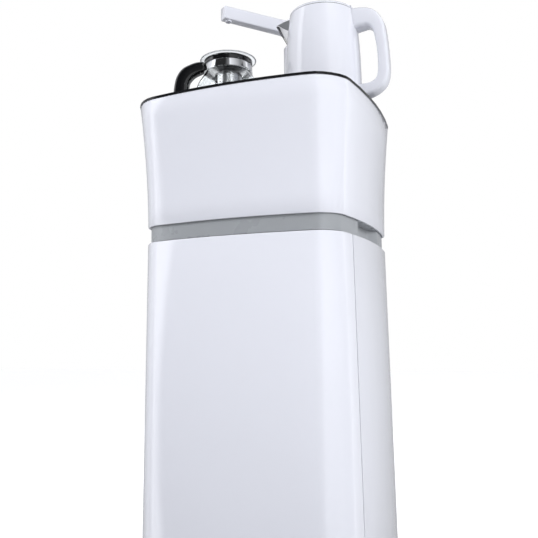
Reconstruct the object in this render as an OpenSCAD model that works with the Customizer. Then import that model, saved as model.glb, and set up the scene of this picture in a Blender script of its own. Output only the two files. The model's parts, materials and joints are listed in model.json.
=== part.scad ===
// Floor-standing hot-water dispenser ("tea bar"): a bottle cabinet with a hinged front door,
// a grey finger-grip waist band, a flared head under a black glass worktop, a swivelling
// filler arm on a column, an electric kettle on its power base and a glass teapot on a
// warming plate. Millimetres, +Z up, origin on the floor under the middle of the waist.

/* [Cabinet] */
// Height of the glass worktop above the floor
worktop_z = 820; // [760:5:900]
// Overall width at the waist, over both bulging sides
waist_w = 332; // [324:1:350]
// Overall depth at the waist, from the bulging front to the flat back
waist_d = 319.5; // [314:0.5:335]
// Corner radius at the waist
waist_r = 30.6; // [24:0.2:36]
// How far the front bulges past its corners
front_crown = 14.9; // [10:0.1:18]
// How far each side bulges past its corners
side_crown = 14.1; // [10:0.1:18]
// How much further out each side of the rim is than the waist
rim_flare = 11.2; // [6:0.1:16]
// How much larger the corner radius is at the rim than at the waist
rim_round = 10.4; // [4:0.1:16]
// How far the rim leans forward
rim_lean = 2.5; // [0:0.1:6]
// How much further out each side of the foot is than the waist
base_flare = 8.7; // [2:0.1:12]
// Wall of the moulded cabinet skins
skin = 2.5; // [2:0.1:3.5]
// Height of the head, from the band to the worktop
head_h = 192.3; // [160:1:230]
// Height of the grey waist band
band_h = 24.4; // [20:0.2:34]
// How far the band is set in behind the skins
band_inset = 4.5; // [3.5:0.1:7]
// Height of the base tray's top above the floor
base_h = 30; // [26:1:40]
// Height of the rubber feet
foot_h = 12; // [8:1:16]

/* [Door] */
// How far the door wraps back round each front corner
door_wrap = 54.3; // [48:0.5:62]
// Gap between the door's side edges and the side panels
seam_gap = 2.6; // [2.4:0.1:4]
// Gap above and below the door
door_gap = 1.3; // [1:0.1:2.5]
// Distance of the hinge pin inwards from the door's side edge
hinge_in = 16.2; // [14:0.2:18]
// Distance of the hinge pin forwards from the door's side edge
hinge_fwd = 26; // [25:0.5:28]
// Hinge pin radius
hinge_pin_r = 3; // [2.5:0.1:4]
// Depth of the door from its corner line to the liner's inner face
door_depth = 20.8; // [16:0.2:24]

/* [Finger grip] */
// Front end of the grip, forward of the middle
grip_front = 62; // [40:1:70]
// Rear end of the grip, behind the middle
grip_rear = 60; // [50:1:75]
// Depth of the grip behind the band's face
grip_depth = 14.5; // [10:0.5:17]

/* [Worktop items] */
// Thickness of the worktop glass
glass_t = 3.5; // [3:0.1:6]
// Kettle centre, sideways
kettle_x = 85; // [78:1:92]
// Teapot centre, sideways
teapot_x = -91; // [-96:1:-84]
// Both vessels' centre line, front to back
vessel_y = 24; // [10:1:30]
// Column centre, sideways
column_x = -2; // [-8:1:8]
// Column centre, front to back
column_y = 134; // [126:1:135]
// Column radius
column_r = 22.5; // [19:0.5:24]
// Height of the column above the worktop
column_h = 177; // [170:1:200]

/* [Filler arm] */
// Gap between the column's top and the arm's underside
arm_gap = 7; // [6:0.5:14]
// Height of the arm at its root
arm_root_h = 36.5; // [32:0.5:44]
// How much higher the arm's underside is at its tip than at its root
arm_rise = 10.5; // [4:0.5:14]
// Distance from the column to the outlet
arm_reach = 139.5; // [132:0.5:145]
// Length of arm past the outlet
arm_nose = 11; // [9:0.5:16]
// Width of the arm
arm_w = 22; // [20:0.5:30]
// Radius of the arm's root over the column
arm_root_r = 19.5; // [17:0.5:22]
// Wall of the arm's shell
arm_wall = 2; // [1.6:0.1:3]
// Radius of the arm's swivel spigot
spigot_r = 11; // [9:0.5:12]
// Radial running clearance of the swivel and of the hinge pins
run = 0.05; // [0.02:0.01:0.1]
// Radius of the outlet nozzle
nozzle_r = 5.8; // [5:0.1:7]

/* [Kettle] */
// Kettle body radius at its widest
kettle_r = 62.2; // [58:0.2:64]
// Kettle radius at the lid seam
kettle_rim_r = 54.6; // [52:0.2:56]
// Height of the lid seam above the worktop
kettle_seam = 169; // [160:0.5:172]
// Thickness of the lid above the seam
lid_t = 4.8; // [4:0.1:6]
// Wall of the kettle's outer shell
kettle_wall = 2.4; // [2:0.1:3]
// How far the spout's tip stands from the kettle's centre
spout_reach = 82; // [76:0.5:86]
// How far the handle stands out from the kettle's centre
handle_reach = 110; // [106:0.5:114]
// Width of the kettle's handle
handle_w = 27; // [22:0.5:30]
// Radius of the kettle's power base
power_base_r = 70; // [66:0.5:72]

/* [Teapot] */
// Height of the collar's top above the worktop
collar_top = 113.5; // [108:0.5:120]
// Height of the collar band
collar_h = 14; // [10:0.5:18]
// Radius of the glass neck
neck_r = 44.5; // [42:0.1:46]
// Widest radius of the glass
belly_r = 61.5; // [58:0.5:64]
// Wall of the glass
teaglass_t = 2.2; // [1.8:0.1:3]
// Radius of the warming plate
warm_r = 53; // [50:0.5:56]
// Radius of the strainer cup
strainer_r = 24; // [20:0.5:30]

/* [Bottle bay] */
// Radius of the bottle that the bay takes
bottle_r = 135; // [130:1:136]
// Sheet thickness of the shelf under the head
shelf_t = 3; // [2:0.1:3.4]

/* [Hidden] */

// Segments in a quarter corner, along the front, and along a side
CORNER_N = 6;
FRONT_N = 8;
SIDE_N = 6;
// Clearance between parts that slip together
slip = 0.3;
a0 = waist_w / 2 - side_crown;
b0 = (waist_d - front_crown) / 2;
head_z = worktop_z - head_h;
band_z = head_z - band_h;
seam_y = -b0 + door_wrap;
door_z = base_h + door_gap;
glass_z = worktop_z - glass_t;
band_floor = band_z + door_gap;
shelf_z = band_z;
shelf_top = shelf_z + shelf_t;
liner_y = -b0 + door_depth;
seam_half_w = a0 + side_crown * (1 - pow(seam_y / b0, 2));
hinge_x = -(seam_half_w - hinge_in);
hinge_y = seam_y - hinge_fwd;
back_half_w = a0 - waist_r - 3;
frame_t = 5;
frame_z = glass_z - frame_t;
arm_low = column_h + arm_gap;
arm_top = arm_low + arm_root_h;
arm_tip_low = arm_low + arm_rise;
arm_angle = atan2(vessel_y - column_y, teapot_x - column_x);

// ---- Cabinet section -------------------------------------------------------------------

function flare_at(z) = z > head_z ? pow((z - head_z) / head_h, 1.8) : 0;
function draft_at(z) = z < band_z ? (band_z - z) / band_z : 0;
function half_w(z) = a0 + rim_flare * flare_at(z) + base_flare * draft_at(z);
function half_d(z) = b0 + rim_flare * flare_at(z) + base_flare * draft_at(z);
function corner_r(z) = waist_r + rim_round * flare_at(z) + base_flare * draft_at(z);
function lean(z) = -rim_lean * flare_at(z);

// Bulge of the front and of the two sides; the back stays flat
function crowned(p, hw, hd) = [
    p.x + sign(p.x) * side_crown * max(0, 1 - pow(p.y / hd, 2)) * pow(abs(p.x) / hw, 4),
    p.y - (p.y < 0 ? front_crown * max(0, 1 - pow(p.x / hw, 2)) * pow(-p.y / hd, 4) : 0)];

function arc(c, r, from) = [for (i = [0:CORNER_N])
    let (t = from + 90 * i / CORNER_N) [c.x + r * cos(t), c.y + r * sin(t)]];
function run_of(p, q, n) = [for (i = [1:n - 1]) p + (q - p) * i / n];

// Plain rounded rectangle before the bulge, as an open or closed run of points
function ring_base(hw, hd, r) = concat(
    arc([-(hw - r), -(hd - r)], r, 180),
    run_of([-(hw - r), -hd], [hw - r, -hd], FRONT_N),
    arc([hw - r, -(hd - r)], r, 270),
    run_of([hw, -(hd - r)], [hw, hd - r], SIDE_N),
    arc([hw - r, hd - r], r, 0),
    arc([-(hw - r), hd - r], r, 90),
    run_of([-hw, hd - r], [-hw, -(hd - r)], SIDE_N));
function front_base(hw, hd, r) = concat(
    [[-hw, seam_y]],
    arc([-(hw - r), -(hd - r)], r, 180),
    run_of([-(hw - r), -hd], [hw - r, -hd], FRONT_N),
    arc([hw - r, -(hd - r)], r, 270),
    [[hw, seam_y]]);
function right_base(hw, hd, r) = concat(
    [[hw, seam_y + seam_gap]],
    run_of([hw, seam_y + seam_gap], [hw, hd - r], SIDE_N),
    arc([hw - r, hd - r], r, 0),
    [[back_half_w, hd]]);

function at_height(z, inset, base) = let (
    hw = half_w(z) - inset, hd = half_d(z) - inset, r = max(1, corner_r(z) - inset))
    [for (p = base(hw, hd, r)) crowned(p, hw, hd) + [0, lean(z)]];

full_path = function(z, inset) at_height(z, inset, function(hw, hd, r) ring_base(hw, hd, r));
front_path = function(z, inset) at_height(z, inset, function(hw, hd, r) front_base(hw, hd, r));
right_path = function(z, inset) at_height(z, inset, function(hw, hd, r) right_base(hw, hd, r));

// ---- Lofts -----------------------------------------------------------------------------

// Wall between an outer surface through [z, inset] levels and one a wall further in
module wall_loft(path, levels, t, closed = true) {
    n = len(path(levels[0][0], 0));
    m = len(levels);
    outer = [for (l = levels) for (p = path(l[0], l[1])) [p.x, p.y, l[0]]];
    inner = [for (l = levels) for (p = path(l[0], t)) [p.x, p.y, l[0]]];
    in0 = m * n;
    last = closed ? n - 1 : n - 2;
    faces = concat(
        [for (k = [0:m - 2]) for (i = [0:last]) let (j = (i + 1) % n, u = k * n, v = u + n)
            each [[u + i, v + i, v + j], [u + i, v + j, u + j],
                [in0 + u + i, in0 + v + j, in0 + v + i], [in0 + u + i, in0 + u + j, in0 + v + j]]],
        [for (i = [0:last]) let (j = (i + 1) % n, v = (m - 1) * n)
            each [[v + i, in0 + v + i, in0 + v + j], [v + i, in0 + v + j, v + j],
                [i, in0 + j, in0 + i], [i, j, in0 + j]]],
        closed ? [] : [for (k = [0:m - 2]) let (u = k * n, v = u + n, e = n - 1)
            each [[u, in0 + u, in0 + v], [u, in0 + v, v],
                [u + e, v + e, in0 + v + e], [u + e, in0 + v + e, in0 + u + e]]]);
    polyhedron(points = concat(outer, inner), faces = faces);
}

// Solid through rings of equal count, each ring counter-clockwise seen from the last ring
module ring_loft(rings) {
    n = len(rings[0]);
    m = len(rings);
    polyhedron(points = [for (r = rings) each r], faces = concat(
        [[for (i = [0:n - 1]) i]],
        [[for (i = [n - 1:-1:0]) (m - 1) * n + i]],
        [for (k = [0:m - 2]) for (i = [0:n - 1]) let (j = (i + 1) % n, u = k * n, v = u + n)
            each [[u + i, v + i, v + j], [u + i, v + j, u + j]]]));
}

// Upright solid whose four-sided plan follows the leaning walls
module leaning_prism(plan, z0, z1) {
    ring_loft([for (z = [z0, z1]) [for (p = plan(z)) [p.x, p.y, z]]]);
}

// Flat sheet of the cabinet's outline at one height
module slab(z, h, inset) {
    translate([0, 0, z]) linear_extrude(h) polygon(full_path(z, inset));
}

// Smooth curve through points, with their sizes, as [x, y, size, size]
function blend_at(p, i, t) = let (n = len(p) - 1,
    a = p[max(i - 1, 0)], b = p[i], c = p[min(i + 1, n)], d = p[min(i + 2, n)])
    0.5 * (2 * b + (c - a) * t + (2 * a - 5 * b + 4 * c - d) * t * t
        + (3 * b - a - 3 * c + d) * t * t * t);
function smooth(p, steps) = concat(
    [for (i = [0:len(p) - 2]) for (s = [0:steps - 1]) blend_at(p, i, s / steps)],
    [p[len(p) - 1]]);

// Handle swept in the XZ plane through [x, z, depth, width] stations
module swept_handle(stations, boxy, sides = 16) {
    s = smooth(stations, 3);
    n = len(s) - 1;
    ring_loft([for (i = [0:n]) let (
        d = i == 0 ? s[1] - s[0] : i == n ? s[n] - s[n - 1] : s[i + 1] - s[i - 1],
        l = norm([d[0], d[1]]), nx = -d[1] / l, nz = d[0] / l)
        [for (k = [0:sides - 1]) let (a = -360 * k / sides,
            u = sign(cos(a)) * pow(abs(cos(a)), boxy) * s[i][2] / 2,
            v = sign(sin(a)) * pow(abs(sin(a)), boxy) * s[i][3] / 2)
            [s[i][0] + nx * u, v, s[i][1] + nz * u]]]);
}

// Round hose or loom along a route of points
module swept_tube(route, r, sides = 8, steps = 3) {
    s = smooth(route, steps);
    n = len(s) - 1;
    ring_loft([for (i = [0:n]) let (
        d = i == 0 ? s[1] - s[0] : i == n ? s[n] - s[n - 1] : s[i + 1] - s[i - 1],
        w = d / norm(d), e = abs(w.y) < 0.9 ? [0, 1, 0] : [1, 0, 0],
        u = cross(e, w) / norm(cross(e, w)), v = cross(w, u))
        [for (k = [0:sides - 1]) s[i] + r * (u * cos(360 * k / sides) + v * sin(360 * k / sides))]]);
}

// Hollow revolved wall from an outer profile of [radius, height], open at the top
module revolved_wall(outer, t, floor_t, fn = 96) {
    n = len(outer) - 1;
    inner = [for (i = [n:-1:0]) if (outer[i][1] > outer[0][1] + floor_t) [outer[i][0] - t, outer[i][1]]];
    rotate_extrude($fn = fn) polygon(concat([[0, outer[0][1]]], outer, inner,
        [[outer[1][0] - t, outer[0][1] + floor_t], [0, outer[0][1] + floor_t]]));
}

module ring(r_out, r_in, h, fn = 64) {
    difference() {
        cylinder(r = r_out, h = h, $fn = fn);
        translate([0, 0, -1]) cylinder(r = r_in, h = h + 2, $fn = fn);
    }
}

// ---- Base ------------------------------------------------------------------------------

foot_r = 18;
foot_in = 46;
tray_inset = 6;
tray_wall = 3;
foot_spots = [for (sx = [-1, 1]) for (sy = [-1, 1])
    [sx * (half_w(0) - foot_in), sy * (half_d(0) - foot_in)]];

module base_tray() color([0.30, 0.31, 0.33]) {
    deck = 5;
    rib = 2.5;
    difference() {
        slab(foot_h, base_h - foot_h, tray_inset);
        difference() {
            translate([0, 0, foot_h - 1]) linear_extrude(base_h - foot_h - deck + 1)
                polygon(full_path(foot_h, tray_inset + tray_wall));
            for (x = [-1, 0, 1]) translate([x * 70 - rib / 2, -200, 0]) cube([rib, 400, base_h]);
            for (y = [-1, 0, 1]) translate([-200, y * 70 - rib / 2, 0]) cube([400, rib, base_h]);
            for (p = foot_spots) translate([p.x, p.y, 0]) cylinder(r = foot_r + 2, h = base_h, $fn = 48);
        }
        for (p = foot_spots) translate([p.x, p.y, foot_h - 1]) cylinder(r = 4, h = 13, $fn = 48);
        translate([hinge_x - 20, hinge_y - 15, base_h - bracket_t]) cube([52, 46, 5]);
    }
}

module feet() color([0.08, 0.08, 0.09])
    for (p = foot_spots) translate([p.x, p.y, 0]) rotate_extrude($fn = 48)
        polygon([[0, 0], [foot_r - 2, 0], [foot_r, 2], [foot_r - 2, foot_h], [4, foot_h],
            [4, foot_h + 10], [0, foot_h + 10]]);

// Bay floor with a low ring that centres the bottle
module bottle_platform() color([0.62, 0.63, 0.66]) {
    floor_t = 3;
    guide_h = 9;
    bottle_y = (liner_y + b0 - skin) / 2;
    difference() {
        translate([0, 0, base_h]) linear_extrude(floor_t)
            polygon([for (p = full_path(band_z, 20)) if (p.y > liner_y + 4) p]);
        translate([0, bottle_y, base_h + floor_t - 1]) cylinder(r = bottle_r - 20, h = 2, $fn = 96);
        translate([hinge_x - 20, hinge_y - 15, base_h - 1]) cube([66, 56, 9]);
    }
    intersection() {
        translate([0, bottle_y, base_h + floor_t]) ring(bottle_r + 4, bottle_r + 1, guide_h, 96);
        translate([-200, 90, base_h]) cube([400, 53, 30]);
    }
}

// ---- Walls -----------------------------------------------------------------------------

flange_t = 2.5;
panel_flange = 24;
foot_flange = 20;
back_t = 2;

module side_panel(side) color([0.92, 0.93, 0.95]) mirror([side < 0 ? 1 : 0, 0, 0]) {
    wall_loft(right_path, [[base_h, 0.8], [base_h + 1.5, 0], [band_z - 2, 0], [band_z, 1.2]],
        skin, closed = false);
    // top and bottom returns
    for (z = [base_h, band_z - flange_t]) intersection() {
        difference() {
            slab(z, flange_t, 1.3);
            slab(z - 1, flange_t + 2, z == base_h ? foot_flange : panel_flange);
        }
        translate([back_half_w, seam_y + 10 + seam_gap, z - 1]) cube([200, 400, flange_t + 2]);
    }
    // inner return behind the door's edge
    leaning_prism(function(z) let (x = half_w(z) + side_crown / 2) [[x - 22, seam_y + 13],
        [x - 2, seam_y + 13], [x - 2, seam_y + 15.5], [x - 22, seam_y + 15.5]], base_h, band_z - 1);
    // strip that the back panel is screwed to
    leaning_prism(function(z) let (y = half_d(z)) [[back_half_w - 14, y - back_t - flange_t],
        [back_half_w + 3, y - back_t - flange_t], [back_half_w + 3, y - back_t],
        [back_half_w - 14, y - back_t]], base_h, band_z - 1);
}

module side_panel_left() side_panel(-1);
module side_panel_right() side_panel(1);

switch_x = -75;
switch_z = band_z - 62;
gland_x = 80;
gland_z = base_h + 50;
screw_in = 25;
vent_n = 9;
vent_pitch = 11;

module back_panel() color([0.86, 0.87, 0.89]) difference() {
    leaning_prism(function(z) let (y = half_d(z)) [[-back_half_w + slip, y - back_t],
        [back_half_w - slip, y - back_t], [back_half_w - slip, y], [-back_half_w + slip, y]],
        base_h, band_z);
    for (x = [-1, 1]) for (i = [0:vent_n - 1])
        translate([x * 32 - 24, b0 - 10, band_z - 190 + i * vent_pitch]) cube([48, 30, 4]);
    translate([switch_x - 11, b0 - 10, switch_z - 15]) cube([22, 30, 30]);
    translate([gland_x, b0 - 10, gland_z]) rotate([-90, 0, 0]) cylinder(r = 9, h = 40, $fn = 48);
}

module back_screws() color([0.75, 0.75, 0.77])
    for (x = [-1, 1]) for (k = [0:3]) let (z = base_h + screw_in + k * (band_z - base_h - 2 * screw_in) / 3)
        translate([x * (back_half_w - 7), half_d(z) + 0.06, z]) rotate([-90, 0, 0]) difference() {
            cylinder(r = 3.6, h = 1.6, $fn = 32);
            translate([-2.4, -0.5, 0.8]) cube([4.8, 1, 2]);
            translate([-0.5, -2.4, 0.8]) cube([1, 4.8, 2]);
        }

module cord_gland() color([0.1, 0.1, 0.11])
    translate([gland_x, half_d(gland_z) - back_t - 8, gland_z]) rotate([-90, 0, 0])
        rotate_extrude($fn = 48) polygon([[3.8, 0], [8.7, 0], [8.7, 7.6], [8.7, 10.6], [12, 10.6],
            [11, 14], [6.5, 16], [3.8, 16]]);

module switch_housing() color([0.1, 0.1, 0.11])
    translate([switch_x, half_d(switch_z) - back_t, switch_z]) difference() {
        union() {
            translate([-10.7, -16, -14.7]) cube([21.4, back_t + 18, 29.4]);
            translate([-12.5, back_t + 0.3, -16.5]) cube([25, 2, 33]);
        }
        translate([-7.5, -9, -11.5]) cube([15, 30, 23]);
    }

// Rocker at rest with its upper end pressed in
rocker_tilt = 9;
rocker_y = half_d(switch_z) - back_t - 1.5;
module power_rocker() color([0.65, 0.08, 0.06])
    translate([switch_x, rocker_y, switch_z]) rotate([rocker_tilt, 0, 0]) intersection() {
        translate([-7.2, -5, -10.6]) cube([14.4, 15, 21.2]);
        translate([-8, -7, 0]) rotate([0, 90, 0]) cylinder(r = 14, h = 16, $fn = 64);
    }

// ---- Waist and shelf --------------------------------------------------------------------

band_wall = 3;
shelf_in = 12;
shelf_front = liner_y + 4;
hose_spot = [-(a0 - 35), b0 - 39];

module shelf() color([0.70, 0.71, 0.73]) difference() {
    intersection() {
        slab(shelf_z, shelf_t, band_inset + band_wall + slip);
        translate([-(a0 - shelf_in + side_crown), shelf_front, shelf_z])
            cube([2 * (a0 - shelf_in + side_crown), 400, shelf_t]);
    }
    translate([0, 0, shelf_z - 1]) linear_extrude(shelf_t + 2) polygon(grip_plan(band_wall + slip));
    translate([-200, shelf_front - 1, shelf_z - 1]) cube([200 - back_half_w + 12, 44, shelf_t + 2]);
    translate([hose_spot.x, hose_spot.y, shelf_z - 1]) cylinder(r = 8, h = shelf_t + 2, $fn = 32);
    for (i = [0:4]) translate([20 + i * 12, 60, shelf_z - 1]) cube([5, 60, shelf_t + 2]);
}

// Plan of the hollow behind the finger grip: a square front step and a long curved rear ramp
function grip_plan(g) = let (x = a0 + side_crown - band_inset - grip_depth - g, far = 240)
    concat([[far, -grip_front - g], [x, -grip_front - g], [x, grip_rear - 34 - g]],
        [for (t = [1:5]) [x + (grip_depth + 4) * (1 - cos(16 * t)) * 1.06,
            grip_rear - 34 - g + (36 + g) * t / 5]],
        [[far, grip_rear + 2]]);

module waist_band() color([0.62, 0.64, 0.66]) {
    top = head_z + skin;
    translate([0, 0, band_floor]) linear_extrude(top - band_floor) difference() {
        polygon(full_path(band_z, band_inset));
        difference() {
            polygon(full_path(band_z, band_inset + band_wall));
            polygon(grip_plan(band_wall));
        }
        polygon(grip_plan(0));
    }
    // floor flange on the shelf
    translate([0, 0, shelf_top]) linear_extrude(flange_t) difference() {
        polygon(full_path(band_z, band_inset + 1));
        polygon(full_path(band_z, band_inset + 16));
        polygon(grip_plan(0));
    }
    // ceiling of the finger grip
    translate([0, 0, head_z + 0.3]) linear_extrude(skin - 0.3) intersection() {
        polygon(full_path(band_z, band_inset));
        polygon(grip_plan(band_wall));
    }
}

// ---- Head ------------------------------------------------------------------------------

shroud_wall = 2.8;
lip_t = 2.5;
lip_z = head_z + skin;

module upper_shroud() color([0.93, 0.94, 0.96]) {
    steps = 7;
    wall_loft(full_path, concat([[head_z, 0.9], [head_z + 1.2, 0]],
        [for (i = [1:steps]) [head_z + 1.2 + (head_h - glass_t - 2.2) * i / steps, 0]],
        [[glass_z, 0.7]]), shroud_wall);
    translate([0, 0, lip_z]) linear_extrude(lip_t) difference() {
        polygon(full_path(head_z, 1.4));
        polygon(full_path(head_z, band_inset + 6));
    }
}

frame_gap = 0.4;
element_r = 46;
stem_hole = column_r - 6.5 + slip;
base_boss_r = 40;
post_r = 5;
post_in = 22;
touch_w = 120;
touch_d = 40;
touch_y = -128;

// Carrier under the glass, on four posts that stand on the shroud's lip
module top_frame() color([0.80, 0.81, 0.83]) {
    difference() {
        translate([0, 0, frame_z]) linear_extrude(frame_t) polygon(full_path(frame_z, shroud_wall + frame_gap));
        translate([kettle_x, vessel_y, frame_z - 1]) cylinder(r = base_boss_r + slip, h = frame_t + 2, $fn = 96);
        translate([teapot_x, vessel_y, frame_z - 1]) cylinder(r = warm_r + slip, h = frame_t + 2, $fn = 96);
        translate([column_x, column_y, frame_z - 1]) cylinder(r = stem_hole, h = frame_t + 2, $fn = 64);
        translate([-touch_w / 2 - 1, touch_y - 1, frame_z - 1]) cube([touch_w + 2, touch_d + 2, frame_t + 2]);
    }
    for (sx = [-1, 1]) for (sy = [-1, 1])
        translate([sx * (a0 - post_in), sy * (b0 - post_in), lip_z]) difference() {
            cylinder(r = post_r, h = frame_z - lip_z + 1, $fn = 32);
            translate([0, 0, -1]) cylinder(r = 1.6, h = 25, $fn = 24);
        }
}

module worktop_glass() color([0.03, 0.03, 0.035]) difference() {
    translate([0, 0, glass_z]) linear_extrude(glass_t) polygon(full_path(worktop_z, 0));
    translate([kettle_x, vessel_y, glass_z - 1]) cylinder(r = base_boss_r + slip, h = glass_t + 2, $fn = 96);
    translate([teapot_x, vessel_y, glass_z - 1]) cylinder(r = warm_r + slip, h = glass_t + 2, $fn = 96);
    translate([column_x, column_y, glass_z - 1]) cylinder(r = stem_hole, h = glass_t + 2, $fn = 64);
}

module touch_board() color([0.05, 0.25, 0.12]) {
    board_t = 1.6;
    translate([-touch_w / 2, touch_y, glass_z - board_t]) cube([touch_w, touch_d, board_t]);
    translate([-20, touch_y + 12, glass_z - board_t - 5]) cube([40, 14, 5]);
    for (x = [-48, -36, 30, 42]) translate([x, touch_y + 15, glass_z - board_t - 3]) cube([8, 8, 3]);
}

// Heat-shielded disc that the kettle stands on
seat_t = 4;
kettle_seat = worktop_z + seat_t;
module kettle_base() color([0.86, 0.87, 0.89]) translate([kettle_x, vessel_y, 0]) difference() {
    rotate_extrude($fn = 96) polygon([[18, frame_z - 12], [base_boss_r, frame_z - 12],
        [base_boss_r, worktop_z], [power_base_r - 1, worktop_z], [power_base_r, worktop_z + 1],
        [power_base_r - 1.5, kettle_seat], [18, kettle_seat]]);
    for (a = [0:60:300]) rotate([0, 0, a]) translate([29, 0, frame_z - 13]) cylinder(r = 5, h = 20, $fn = 24);
}

coupler_r = 16;
coupler_h = 13;
module kettle_coupler() color([0.12, 0.12, 0.13]) translate([kettle_x, vessel_y, frame_z - 12])
    difference() {
        rotate_extrude($fn = 96) polygon([[0, 0], [18, 0], [18, kettle_seat - frame_z + 12],
            [coupler_r, kettle_seat - frame_z + 12], [coupler_r, kettle_seat - frame_z + 11 + coupler_h],
            [coupler_r - 1, kettle_seat - frame_z + 12 + coupler_h], [0, kettle_seat - frame_z + 12 + coupler_h]]);
        translate([0, 0, kettle_seat - frame_z + 16]) ring(12, 8.5, 30);
        translate([0, 0, kettle_seat - frame_z + 16]) cylinder(r = 3, h = 30, $fn = 32);
    }

plate_lip = 1.5;
module warming_plate() color([0.2, 0.2, 0.22]) translate([teapot_x, vessel_y, 0])
    rotate_extrude($fn = 96) polygon([[0, frame_z], [warm_r, frame_z], [warm_r, worktop_z],
        [warm_r + 3, worktop_z], [warm_r + 2.4, worktop_z + plate_lip], [50, worktop_z + plate_lip],
        [49, worktop_z + plate_lip - 0.6], [0, worktop_z + plate_lip - 0.6]]);

module warming_element() color([0.55, 0.45, 0.35]) translate([teapot_x, vessel_y, frame_z - 7])
    ring(element_r, 20, 7, 96);

// ---- Column ----------------------------------------------------------------------------

column_top = worktop_z + column_h;
stem_r = column_r - 6.5;
stem_bore = stem_r - 3;
nut_r = column_r - 0.7;
bush_wall = 3;
bush_h = 12;
bush_flange = 1;
nut_h = 8;

module filler_column() color([0.92, 0.93, 0.95]) translate([column_x, column_y, 0])
    difference() {
        rotate_extrude($fn = 96) polygon([[stem_bore, frame_z - nut_h - 2], [stem_r, frame_z - nut_h - 2],
            [stem_r, worktop_z], [column_r, worktop_z], [column_r, column_top - 4.5],
            [column_r - 3.5, column_top], [spigot_r + run + bush_wall, column_top],
            [spigot_r + run + bush_wall, column_top - bush_h], [column_r - 5, column_top - bush_h - 6],
            [column_r - 5, worktop_z + 6], [stem_bore, worktop_z + 4]]);
    }

module column_nut() color([0.55, 0.56, 0.58]) translate([column_x, column_y, frame_z - nut_h]) difference() {
    ring(nut_r, stem_r, nut_h, 96);
    for (a = [0:45:315]) rotate([0, 0, a]) translate([nut_r - 1.5, -2, -1]) cube([4, 4, nut_h + 2]);
}

module swivel_bush() color([0.9, 0.9, 0.86]) translate([column_x, column_y, 0])
    rotate_extrude($fn = 96) polygon([[spigot_r + run, column_top - bush_h],
        [spigot_r + run + bush_wall, column_top - bush_h], [spigot_r + run + bush_wall, column_top],
        [spigot_r + run + bush_wall + 2, column_top], [spigot_r + run + bush_wall + 2, column_top + bush_flange],
        [spigot_r + run, column_top + bush_flange]]);

// ---- Water path -------------------------------------------------------------------------

probe_top = band_z - 28;
probe_r = 6;
probe_len = 430;
cap_r = 22;
hose_r = 4;

// Rigid dip tube with its bottle cap, parked in a clip in the bay's rear corner
module bottle_probe() color([0.88, 0.89, 0.92]) translate([hose_spot.x, hose_spot.y, 0]) {
    rotate_extrude($fn = 48) polygon([[hose_r, probe_top - probe_len], [probe_r, probe_top - probe_len],
        [probe_r, probe_top - 26], [cap_r - 2, probe_top - 26], [cap_r, probe_top - 24],
        [cap_r, probe_top - 2], [cap_r - 2, probe_top], [hose_r + 3, probe_top],
        [hose_r + 2, probe_top + 8], [hose_r, probe_top + 8]]);
    translate([0, 0, probe_top - probe_len]) for (a = [0:90:270]) rotate([0, 0, a])
        translate([hose_r, -1, -6]) cube([2, 2, 8]);
}

module probe_clip() color([0.80, 0.81, 0.83]) difference() {
    union() {
        translate([hose_spot.x, hose_spot.y, probe_top - 150]) cylinder(r = probe_r + 3.5, h = 16, $fn = 48);
        translate([hose_spot.x - 5, hose_spot.y, probe_top - 150])
            cube([10, half_d(probe_top - 134) - back_t - flange_t - hose_spot.y, 16]);
    }
    translate([hose_spot.x, hose_spot.y, probe_top - 160]) cylinder(r = probe_r + 0.1, h = 40, $fn = 48);
    translate([hose_spot.x - 4.4, hose_spot.y - 20, probe_top - 160]) cube([8.8, 20, 40]);
}

module hose_grommet() color([0.1, 0.1, 0.11]) translate([hose_spot.x, hose_spot.y, shelf_z])
    difference() {
        rotate_extrude($fn = 32) polygon([[hose_r, -2], [10, -2], [10, 0], [8, 0], [8, shelf_t],
            [10, shelf_t], [10, shelf_t + 2], [hose_r, shelf_t + 2]]);
    }

pump_x = -62;
pump_y = 84;
pump_axis_z = shelf_top + 26;
pump_r = 15;
// Route of the suction hose: up out of the cap, through the grommet and round to the pump
suction_route = [[hose_spot.x, hose_spot.y, probe_top + 8], [hose_spot.x, hose_spot.y, shelf_z + 10],
    [hose_spot.x, hose_spot.y, shelf_z + 34], [hose_spot.x, hose_spot.y - 14, shelf_z + 48],
    [hose_spot.x, pump_y - 4, pump_axis_z + 22], [hose_spot.x + 5, pump_y - 26, pump_axis_z + 8],
    [hose_spot.x + 14, pump_y - 32, pump_axis_z], [pump_x - 34, pump_y - 32, pump_axis_z],
    [pump_x - 28.2, pump_y - 32, pump_axis_z]];
module suction_hose() color([0.85, 0.88, 0.92]) swept_tube(suction_route, hose_r - 0.2);

module pump_motor() color([0.45, 0.46, 0.48]) translate([pump_x + 4, pump_y - 32, pump_axis_z])
    rotate([0, 90, 0]) {
        cylinder(r = pump_r, h = 42, $fn = 48);
        translate([0, 0, 42]) cylinder(r = 6, h = 4, $fn = 32);
    }

module pump_head() color([0.15, 0.15, 0.16]) translate([pump_x - 22, pump_y - 32, pump_axis_z]) {
    rotate([0, 90, 0]) cylinder(r = pump_r + 4, h = 26, $fn = 48);
    translate([-6, 0, 0]) rotate([0, 90, 0]) cylinder(r = hose_r, h = 7, $fn = 32);
    translate([12, 0, 18]) cylinder(r = hose_r, h = 12, $fn = 32);
}

module pump_bracket() color([0.70, 0.71, 0.73]) difference() {
    translate([pump_x + 10, pump_y - 32 - pump_r - 4, shelf_top]) cube([30, 2 * pump_r + 8, pump_axis_z - shelf_top]);
    translate([pump_x + 4, pump_y - 32, pump_axis_z]) rotate([0, 90, 0]) cylinder(r = pump_r, h = 42, $fn = 48);
    translate([pump_x + 9, pump_y - 32 - 12, shelf_top + 3]) cube([32, 24, 14]);
}

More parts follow.
